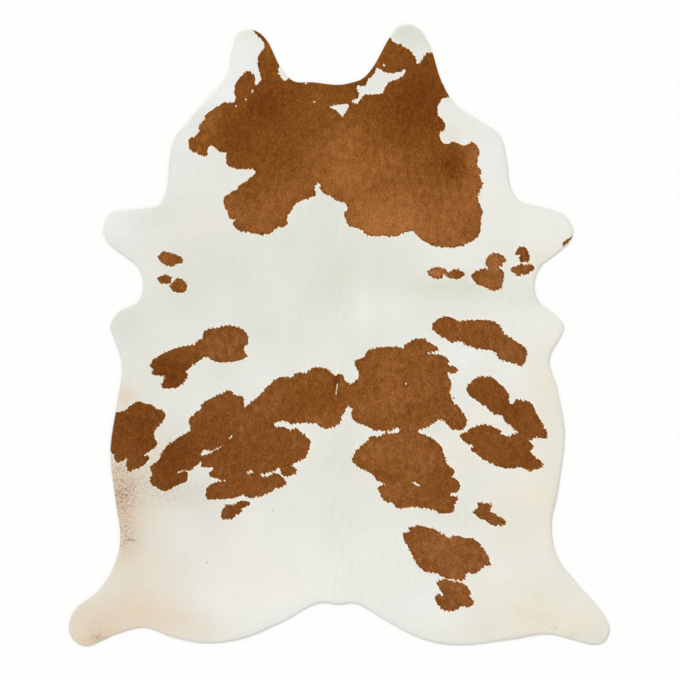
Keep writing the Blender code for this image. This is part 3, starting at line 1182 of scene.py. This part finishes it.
@dataclass(frozen=True)
class WhiteHair(HairFinish):
    """White cow hair: a cool off white that stains to cream and tan towards the belly and hind legs."""

    clean: str = "#ECECE5"
    bright: str = "#F8F9F6"        # where the grey clears, below nought
    cool: str = "#DBDFD2"
    straw: str = "#EFE0BE"
    cream: str = "#E9D5B9"
    tan: str = "#B08A62"
    tick: str = "#86583A"
    # painted shade: the grey that the white turns to at the cut edge
    edge: str = "#C6C8C0"
    warm: str = "#FFF5E2"          # dense and lit by the brown hair's tips, along a border
    creamed: Range = (0.0, 0.6)    # the stains over which the white turns to cream
    tanned: Range = (0.45, 1.2)    # and over which it turns on to tan
    tanned_most: float = 0.8
    beside: Range = (-4.5, -1.0)   # depths, in millimetres, over which the white takes the painted warm glow
    beside_most: float = 0.85
    rim_shaded: Range = (0.5, 1.0)    # closeness to the cut over which the white is painted grey, as shade where the edge turns down
    rim_shaded_most: float = 0.2
    streaks: Range = (0.947, 1.006)     # the strands' darkest and palest tones

    def colour(self, tree: bpy.types.NodeTree, strands: bpy.types.NodeSocket) -> bpy.types.NodeSocket:
        """The white hair's colour.

        Args:
            tree: The material's node tree.
            strands: The fine streaks.

        Returns:
            The colour's socket.
        """
        grey = value_of(tree, "grey")
        greyed = remap(tree, grey, WHOLE, WHOLE, "LINEAR")
        cleared = remap(tree, grey, (0.0, -1.0), WHOLE, "LINEAR")
        made = blended(tree, greyed, linear(self.clean), linear(self.cool))
        made = blended(tree, cleared, made, linear(self.bright))
        made = blended(tree, value_of(tree, "straw"), made, linear(self.straw))
        stain = value_of(tree, "stain")
        creamed = remap(tree, stain, self.creamed, WHOLE, "LINEAR")
        made = blended(tree, creamed, made, linear(self.cream))
        tanned = remap(tree, stain, self.tanned, (0.0, self.tanned_most))
        made = blended(tree, tanned, made, linear(self.tan))
        # painted light: a warm glow on the white along a brown border
        beside = remap(tree, value_of(tree, "depth"), self.beside, (0.0, self.beside_most))
        made = blended(tree, beside, made, linear(self.warm))
        # painted shade: the white greys towards the cut edge
        rim_shade = remap(tree, value_of(tree, "rim"), self.rim_shaded, (0.0, self.rim_shaded_most))
        made = blended(tree, rim_shade, made, linear(self.edge))
        chosen = {0: value_of(tree, "tick"), 1: value_of(tree, "ticking")}
        ticked = add_node(tree, "Math", chosen, operation="MULTIPLY")
        made = blended(tree, ticked.outputs[0], made, linear(self.tick))
        streak = remap(tree, strands, NOISE, self.streaks)
        return blended(tree, 1.0, made, streak, "MULTIPLY")

    def material(self) -> bpy.types.Material:
        """Makes the white locks' material.

        Returns:
            The material.
        """
        material = new_material("white cow hair, tanned hair-on")
        tree = material.node_tree
        strands = self.strands(tree)
        self.shader(tree, self.colour(tree, strands), strands)
        return material


@dataclass(frozen=True)
class BrownHair(HairFinish):
    """Brown cow hair: a warm chestnut, darker in clouds, with painted shade inside a patch's border, golden
    at its tips.
    """

    middle: str = "#875021"
    deep: str = "#733C06"
    pale: str = "#AC6F4C"
    # painted shade: the dark brown that the hair turns to just inside a patch's border
    border: str = "#5A3012"
    tip: str = "#BC8848"           # single hairs out over the white, which let light through
    head: str = "#FFFBB7"          # the brown is multiplied by this at the head, and less to the tail
    clouded: float = 0.9           # the shade, either way, at which the brown is deepest or palest
    beside: Range = (7.0, 2.5)     # depths, in millimetres, over which it darkens to the border, a painted shade
    beside_most: float = 0.7
    tipped: Range = (2.4, 1.0)     # and over which it turns to the tips' gold
    own: Range = (-0.5, 1.5)       # the least and the greatest tone of a lock
    toned: Range = (0.52, 1.48)    # and how dark or pale it makes the brown
    streaks: Range = (0.72, 1.26)  # the strands' darkest and palest tones

    def colour(self, tree: bpy.types.NodeTree, strands: bpy.types.NodeSocket) -> bpy.types.NodeSocket:
        """The brown hair's colour.

        Args:
            tree: The material's node tree.
            strands: The fine streaks.

        Returns:
            The colour's socket.
        """
        shade = value_of(tree, "shade")
        deeper = remap(tree, shade, (0.0, -self.clouded), WHOLE, "LINEAR")
        paler = remap(tree, shade, (0.0, self.clouded), WHOLE, "LINEAR")
        made = blended(tree, deeper, linear(self.middle), linear(self.deep))
        made = blended(tree, paler, made, linear(self.pale))
        tint = blended(tree, value_of(tree, "faded"), linear(self.head), linear(NO_TINT))
        made = blended(tree, 1.0, made, tint, "MULTIPLY")
        depth = value_of(tree, "depth")
        # painted shade: darker towards a patch's border
        beside = remap(tree, depth, self.beside, (0.0, self.beside_most))
        made = blended(tree, beside, made, linear(self.border))
        made = blended(tree, remap(tree, depth, self.tipped, WHOLE), made, linear(self.tip))
        tone = remap(tree, value_of(tree, "tone"), self.own, self.toned, "LINEAR")
        made = blended(tree, 1.0, made, tone, "MULTIPLY")
        streak = remap(tree, strands, NOISE, self.streaks)
        return blended(tree, 1.0, made, streak, "MULTIPLY")

    def material(self) -> bpy.types.Material:
        """Makes the brown locks' material.

        Returns:
            The material.
        """
        material = new_material("chestnut cow hair, tanned hair-on")
        tree = material.node_tree
        strands = self.strands(tree)
        self.shader(tree, self.colour(tree, strands), strands)
        return material


@dataclass(frozen=True)
class UndercoatHair(HairFinish):
    """The dense hair under the locks, in the colours of the hair that grows out of it."""

    border: Range = (-0.6, 0.6)    # depths, in millimetres, over which white turns to brown

    def material(self) -> bpy.types.Material:
        """Makes the undercoat's material.

        Returns:
            The material: white, and brown where the depth in a patch is above nought.
        """
        material = new_material("cow hair undercoat, tanned hair-on")
        tree = material.node_tree
        strands = self.strands(tree)
        white = WhiteHair().colour(tree, strands)
        brown = BrownHair().colour(tree, strands)
        in_brown = remap(tree, value_of(tree, "depth"), self.border, WHOLE)
        self.shader(tree, blended(tree, in_brown, white, brown), strands)
        return material


@dataclass(frozen=True)
class Suede:
    """Chrome-tanned split suede: a dull pale fawn with a short nap, cloudy from handling."""

    light: str = "#CDBFA6"
    dark: str = "#AF9F85"
    roughness: float = 0.92
    sheen: float = 0.25
    nap: float = 2 * MM            # the nap is 0.3 mm; drawn this coarse, so that it shows
    nap_detail: float = 2.0
    nap_tones: Range = (0.9, 1.0)
    relief: float = 0.3 * MM       # how far the nap stands out
    relief_share: float = 0.4      # and how much of that shows
    cloud: float = 90 * MM
    cloud_detail: float = 4.0

    def material(self) -> bpy.types.Material:
        """Makes the leather's material.

        Returns:
            The material.
        """
        material = new_material("cow leather, suede side")
        tree = material.node_tree
        place = add_node(tree, "TexCoord", {}).outputs["Object"]
        wide = {"Vector": place, "Scale": 1.0 / self.cloud, "Detail": self.cloud_detail}
        fine = {"Vector": place, "Scale": 1.0 / self.nap, "Detail": self.nap_detail}
        clouds = add_node(tree, "TexNoise", wide).outputs["Fac"]
        nap = add_node(tree, "TexNoise", fine).outputs["Fac"]
        made = blended(tree, remap(tree, clouds, NOISE, WHOLE), linear(self.light), linear(self.dark))
        made = blended(tree, 1.0, made, remap(tree, nap, NOISE, self.nap_tones), "MULTIPLY")
        bumps = {"Strength": self.relief_share, "Distance": self.relief, "Height": nap}
        bump = add_node(tree, "Bump", bumps)
        shader = tree.nodes["Principled BSDF"]
        shader.inputs["Roughness"].default_value = self.roughness
        shader.inputs["Sheen Weight"].default_value = self.sheen
        tree.links.new(made, shader.inputs["Base Color"])
        tree.links.new(bump.outputs["Normal"], shader.inputs["Normal"])
        return material


@dataclass(frozen=True)
class PaleFloor:
    """A smooth white painted floor, matt."""

    colour: str = "#F7F7F6"
    roughness: float = 0.9
    specular: float = 0.1

    def material(self) -> bpy.types.Material:
        """Makes the floor's material.

        Returns:
            The material.
        """
        material = new_material("matt white floor paint")
        shader = material.node_tree.nodes["Principled BSDF"]
        shader.inputs["Base Color"].default_value = linear(self.colour)
        shader.inputs["Roughness"].default_value = self.roughness
        shader.inputs["Specular IOR Level"].default_value = self.specular
        return material


def new_material(name: str) -> bpy.types.Material:
    """An empty material with its own Principled shader.

    Args:
        name: The material's name.

    Returns:
        The material.
    """
    material = bpy.data.materials.new(name)
    material.use_nodes = True
    return material


# ---------------------------------------------------------------- the pieces


@dataclass
class Leather:
    """The tanned skin: one closed sheet, cut round the hide's edge, with its suede side down."""

    edge: CutEdge
    lie: Lie
    step: float = 20 * MM         # spacing of the places inside the sheet
    clear: float = 0.6            # how many spacings from the cut they start
    edge_step: float = 10 * MM    # spacing along the cut
    nick: float = 0.5 * MM        # how far the knife strayed from its line
    nicks: Ripple = Ripple(1.0, 40 * MM, seed=41)
    crease: float = 50.0          # degrees from which a turn of the surface is a sharp edge

    def build(self) -> bpy.types.Object:
        """Builds the sheet: the same filled outline twice, the suede face turned over, and a wall.

        Returns:
            The piece.
        """
        cut = spaced(self.edge.ring, self.edge_step)
        cut = inset(cut, self.nick * (1.0 + self.nicks.at(*cut.T)))
        flat, faces = filled(cut, self.edge.lattice(self.step, self.step * self.clear))
        x, y = flat.T
        under = self.lie.under(x, y)
        places = np.vstack([
            np.column_stack([x, y, under]),
            np.column_stack([x, y, under + self.lie.leather]),
        ])
        low = np.arange(len(cut))
        low_next = np.roll(low, -1)
        high, high_next = low + len(flat), low_next + len(flat)
        triangles = np.vstack([
            faces[:, ::-1],
            faces + len(flat),
            np.column_stack([low, low_next, high_next]),
            np.column_stack([low, high_next, high]),
        ])
        seen = flat_map(x, y)
        halves = np.vstack([seen * (0.5, 1.0), seen * (0.5, 1.0) + (0.5, 0.0)])
        piece = make_mesh("hide_leather", places, triangles, {}, {BAKE_UV: halves})
        piece.data.set_sharp_from_angle(angle=np.radians(self.crease))
        piece.data.materials.append(Suede().material())
        return piece


@dataclass
class Undercoat:
    """The dense hair on the skin: one surface that curls down to the leather at the cut edge."""

    edge: CutEdge
    lie: Lie
    markings: Markings
    rows: tuple[float, ...] = (0.6 * MM, 2.2 * MM, 5.5 * MM)     # rings inside the edge that carry its curl
    step: float = 7.4 * MM        # spacing of the places inside them
    clear: float = 0.5            # how many spacings from the last ring those start
    tone: float = 0.35            # darker than the middle of the locks' tones
    uneven: Ripple = Ripple(0.08, 12 * MM, seed=42)
    ticked: float = 0.5           # how far it turns brown where the white is ticked

    def build(self) -> bpy.types.Object:
        """Builds the undercoat over the filled outline, at the height that the hide's lie gives.

        Returns:
            The piece.
        """
        rings = [inset(self.edge.ring, row) for row in self.rows]
        inner = self.edge.lattice(self.step, self.rows[-1] + self.step * self.clear)
        flat, faces = filled(self.edge.ring, np.vstack([*rings, inner]))
        x, y = flat.T
        values = self.markings.tones(x, y)
        values["tone"] = self.tone + self.uneven.at(x, y)
        values["tick"] = np.full(len(x), self.ticked)
        places = np.column_stack([x, y, self.lie.top(x, y)])
        piece = make_mesh("hide_undercoat", places, faces, values, {BAKE_UV: flat_map(x, y)})
        piece.data.materials.append(UndercoatHair().material())
        return piece


@dataclass
class Locks:
    """The coat's locks: small pointed tufts, each of two triangles that meet along a ridge."""

    edge: CutEdge
    lie: Lie
    markings: Markings
    spacing: float = 3.05 * MM
    strewn: float = 0.45          # how many spacings a root strays from its row
    clear: float = 1.0 * MM       # how far inside the cut the rows stay
    rooted: float = 0.6 * MM      # and how far inside it a strayed root does
    turned: float = 9.0           # degrees by which a lock strays from the hair's run
    length: float = 7.0 * MM
    lengths: Range = (0.75, 1.2)  # the shortest and the longest, as shares of that
    overhang: float = 1.5 * MM    # how far a tip may stand out past the cut edge
    trimmed: float = 1.2          # how many times what stands out further is taken off
    shortest: float = 2.0 * MM    # but no lock is shorter than this
    width: float = 2.9 * MM
    widths: Range = (0.8, 1.2)    # the narrowest and the widest, as shares of that
    widest: float = 0.42          # share of the length from the root to the widest place
    bow: float = 0.06             # how far aside that place lies, as a share of the length
    rise: tuple[float, ...] = (0.15, 0.30, 0.75, 0.30)     # root, side, tip and side, in millimetres
    loft: float = 0.25            # and how much higher some of them lie
    clumped: float = 0.2          # how far a clump tones its locks
    evened: float = 0.4           # how much less pale hair varies, and dark hair more
    ticked: float = 0.42          # share of the locks that turn brown where the white is ticked
    most: int = 99_000            # locks in one piece
    seed: int = 7

    def build(self) -> list[bpy.types.Object]:
        """Grows the locks and shares them out between pieces, from the head to the tail.

        Returns:
            The pieces, brown ones first.
        """
        roots, angle, length = self._grow()
        middle = roots + length[:, None] * 0.5 * np.column_stack([np.cos(angle), np.sin(angle)])
        brown = self.markings.depth(*middle.T) > 0.0
        pieces = []
        for hair, mine in ((Hair.BROWN, brown), (Hair.WHITE, ~brown)):
            order = np.flatnonzero(mine)
            order = order[np.argsort(-roots[order, 1], kind="stable")]
            shares = np.array_split(order, int(np.ceil(len(order) / self.most)))
            for number, share in enumerate(shares, start=1):
                name = f"{hair.value}_locks_{number}"
                pieces.append(self._piece(name, hair, share, roots, angle, length))
        return pieces

    def _grow(self) -> tuple[np.ndarray, np.ndarray, np.ndarray]:
        """Places every lock.

        Returns:
            The roots, one row of x and y each, the angle that each lock runs at, and its length.
        """
        draw = np.random.default_rng(self.seed)
        roots = self.edge.lattice(self.spacing, self.clear)
        roots = roots + draw.uniform(-self.strewn, self.strewn, roots.shape) * self.spacing
        roots = roots[self.edge.depth(*roots.T) > self.rooted]
        angle = self.lie.run(*roots.T) + draw.normal(0.0, np.radians(self.turned), len(roots))
        length = self.length * draw.uniform(*self.lengths, len(roots))
        tips = roots + length[:, None] * np.column_stack([np.cos(angle), np.sin(angle)])
        past = np.clip(-self.edge.depth(*tips.T) - self.overhang, 0.0, None)
        return roots, angle, np.maximum(length - self.trimmed * past, self.shortest)

    def _piece(
        self,
        name: str,
        hair: Hair,
        share: np.ndarray,
        roots: np.ndarray,
        angle: np.ndarray,
        length: np.ndarray,
    ) -> bpy.types.Object:
        """Builds some of the locks as one mesh.

        A lock's four places are its root, its two sides and its tip. The sides lie at the widest
        share of its length, half a width out, and lower than the line from root to tip.

        Args:
            name: The piece's name.
            hair: The hair's colour.
            share: Which locks belong to the piece.
            roots: Every lock's root.
            angle: Every lock's angle.
            length: Every lock's length.

        Returns:
            The piece.
        """
        draw = np.random.default_rng([self.seed, len(share)])
        root, turn, long = roots[share], angle[share], length[share, None]
        ahead = np.column_stack([np.cos(turn), np.sin(turn)])
        aside = np.column_stack([-ahead[:, 1], ahead[:, 0]])
        half = 0.5 * self.width * draw.uniform(*self.widths, (len(share), 1))
        bow = draw.normal(0.0, self.bow, (len(share), 1)) * long
        belly = root + ahead * long * self.widest + aside * bow
        flat = np.stack([root, belly - aside * half, root + ahead * long, belly + aside * half], axis=1)
        x, y = flat.reshape(-1, 2).T
        rise = np.array(self.rise) * MM + draw.uniform(0.0, self.loft, (len(share), 4)) * MM
        z = self.lie.top(x, y, self.lie.stiff) + rise.ravel()
        first = 4 * np.arange(len(share))[:, None]
        triangles = np.vstack([first + (0, 1, 2), first + (0, 2, 3)])

        centre = root + 0.5 * long * ahead
        tones = self.markings.tones(*centre.T)
        own = draw.uniform(-0.5, 0.5, len(share)) + self.clumped * self.markings.clumped(*centre.T)
        tones["tone"] = 0.5 + own * (1.0 - self.evened * np.clip(tones["shade"], -1.0, 1.0))
        tones["tick"] = (draw.uniform(0.0, 1.0, len(share)) < self.ticked).astype(float)
        values = {key: np.repeat(value, 4) for key, value in tones.items()}
        places = np.column_stack([x, y, z])
        piece = make_mesh(name, places, triangles, values, {BAKE_UV: flat_map(x, y)})
        finish = BrownHair() if hair is Hair.BROWN else WhiteHair()
        piece.data.materials.append(finish.material())
        return piece


@dataclass
class Studio:
    """The pale floor, the soft light and the camera straight above the rug."""

    pixels: int = 680
    pixel: float = 3.68 * MM              # one pixel of the photograph, on the rug
    middle: tuple[float, float] = (3.4 * MM, -18.1 * MM)     # the place in the photograph's middle
    lens: float = 85.0                    # millimetres
    floor_half: float = 60.0
    floor_gap: float = 0.3 * MM           # how far the floor lies below the rug
    horizon: float = 1.0                  # the sky's brightness at the horizon
    zenith: float = 0.78                  # and overhead
    sky: Range = (0.05, 0.5)              # the heights, as the sine of an angle, between which it changes
    key_from: tuple[float, float, float] = (-0.6, 0.85, 0.65)
    key_strength: float = 1.6
    key_spread: float = 25.0              # degrees across, which makes its shadows soft

    def build(self) -> None:
        """Makes the floor, the lights and the camera."""
        self._floor()
        self._lights()
        self._camera()
        bpy.context.scene.view_settings.view_transform = "Standard"

    def _floor(self) -> None:
        """A wide flat floor just under the rug."""
        half = self.floor_half
        corners = np.array([(-half, -half), (half, -half), (half, half), (-half, half)])
        places = np.column_stack([corners, np.full(4, -self.floor_gap)])
        floor = make_mesh("floor", places, np.array([(0, 1, 2), (0, 2, 3)]), {}, {})
        floor.data.materials.append(PaleFloor().material())

    def _lights(self) -> None:
        """A pale sky, brightest at the horizon, and one even soft light from beyond the head."""
        world = bpy.data.worlds.new("studio")
        world.use_nodes = True
        tree = world.node_tree
        place = add_node(tree, "TexCoord", {}).outputs["Generated"]
        up = add_node(tree, "SeparateXYZ", {"Vector": place}).outputs["Z"]
        strength = remap(tree, up, self.sky, (self.horizon, self.zenith))
        tree.links.new(strength, tree.nodes["Background"].inputs["Strength"])
        tree.nodes["Background"].inputs["Color"].default_value = linear(NO_TINT)
        bpy.context.scene.world = world
        lamp = bpy.data.lights.new("key", "SUN")
        lamp.angle = np.radians(self.key_spread)
        lamp.energy = self.key_strength
        key = bpy.data.objects.new("key", lamp)
        key.rotation_euler = (-Vector(self.key_from)).to_track_quat("-Z", "Y").to_euler()
        bpy.context.scene.collection.objects.link(key)

    def _camera(self) -> None:
        """A long lens straight above, as far up as makes a pixel its real size on the rug."""
        camera = bpy.data.cameras.new("camera")
        camera.lens = self.lens
        away = self.pixels * self.pixel * self.lens / camera.sensor_width
        view = bpy.data.objects.new("camera", camera)
        view.location = (*self.middle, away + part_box(NODE)[1].z)
        bpy.context.scene.collection.objects.link(view)
        bpy.context.scene.camera = view


# ---------------------------------------------------------------- the whole rug


def main() -> None:
    """Builds the rug's pieces in order, says how they belong together, and sets the studio."""
    edge = CutEdge()
    log.info("cut edge: %d points, %.3f square metres", len(edge.ring), edge.area)
    lie = Lie(edge)
    markings = Markings(edge)
    log.info("markings: %d patches and %d flecks", len(PATCHES), len(FLECKS))

    leather = Leather(edge, lie).build()
    undercoat = Undercoat(edge, lie, markings).build()
    locks = Locks(edge, lie, markings).build()
    for piece in (leather, undercoat, *locks):
        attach(piece, BODY)
        log.info("%s: %d triangles", piece.name, len(piece.data.polygons))
    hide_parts(NODE)

    Studio().build()
    log.info("studio: floor, key light and camera")


if __name__ == "__main__":
    logging.basicConfig(level=logging.INFO, format="%(message)s")
    main()
